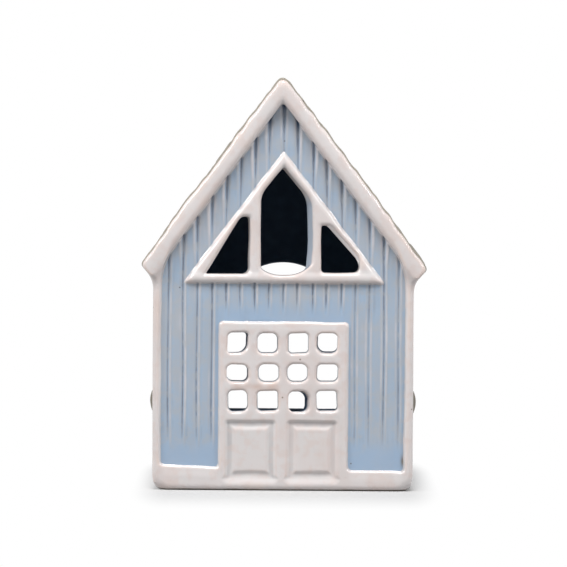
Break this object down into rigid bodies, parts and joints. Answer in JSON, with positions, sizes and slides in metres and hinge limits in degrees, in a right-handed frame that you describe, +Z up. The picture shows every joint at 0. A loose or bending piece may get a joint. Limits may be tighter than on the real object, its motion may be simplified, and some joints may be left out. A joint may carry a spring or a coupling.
{
  "type": "tealight house",
  "caption": "Glazed stoneware candle house with boarded walls, a steep roof, a pierced double door, a gable window and a rear arch for a tealight.",
  "frame": {"origin": "middle of the underside, on the surface that the house stands on", "axes": "+Z up to the ridge, -Y out of the front door, +X to the right as seen from the front"},
  "size_m": [0.1118, 0.0848, 0.16],
  "materials": {
    "white_glaze": "gloss white glaze over stoneware",
    "blue_glaze": "gloss grey-blue glaze over stoneware",
    "bare_stoneware": "thinly washed grey-brown stoneware",
    "cup_metal": "thin drawn sheet",
    "wax": "white paraffin wax",
    "wick": "waxed cotton braid",
    "tin": "tinned sheet"
  },
  "bodies": {
    "house": {"floor_slab": "white_glaze", "plinth_band": "white_glaze", "front_left_bargeboard": "white_glaze", "front_right_bargeboard": "white_glaze", "rear_left_bargeboard": "white_glaze", "rear_right_bargeboard": "white_glaze", "front_left_corner_post": "white_glaze", "front_right_corner_post": "white_glaze", "rear_left_corner_post": "white_glaze", "rear_right_corner_post": "white_glaze", "double_door": "white_glaze", "gable_window_sill": "white_glaze", "gable_window_left_rake": "white_glaze", "gable_window_right_rake": "white_glaze", "gable_window_left_mullion": "white_glaze", "gable_window_right_mullion": "white_glaze", "front_wall": "blue_glaze", "rear_wall": "blue_glaze", "left_wall": "blue_glaze", "right_wall": "blue_glaze", "left_roof_slab": "bare_stoneware", "right_roof_slab": "bare_stoneware", "left_side_lug": "bare_stoneware", "right_side_lug": "bare_stoneware"},
    "tealight": {"tealight_cup": "cup_metal"},
    "candle": {"candle_wax": "wax", "candle_wick": "wick", "wick_sustainer": "tin"}
  },
  "joints": [
    {"name": "tealight_lift_out", "type": "slide", "parent": "house", "child": "tealight", "axis": [0, 0.7431, 0.6691], "range_m": [0, 0.11]},
    {"name": "candle_lift", "type": "slide", "parent": "tealight", "child": "candle", "axis": [0, 0, 1], "range_m": [0, 0.02]}
  ]
}
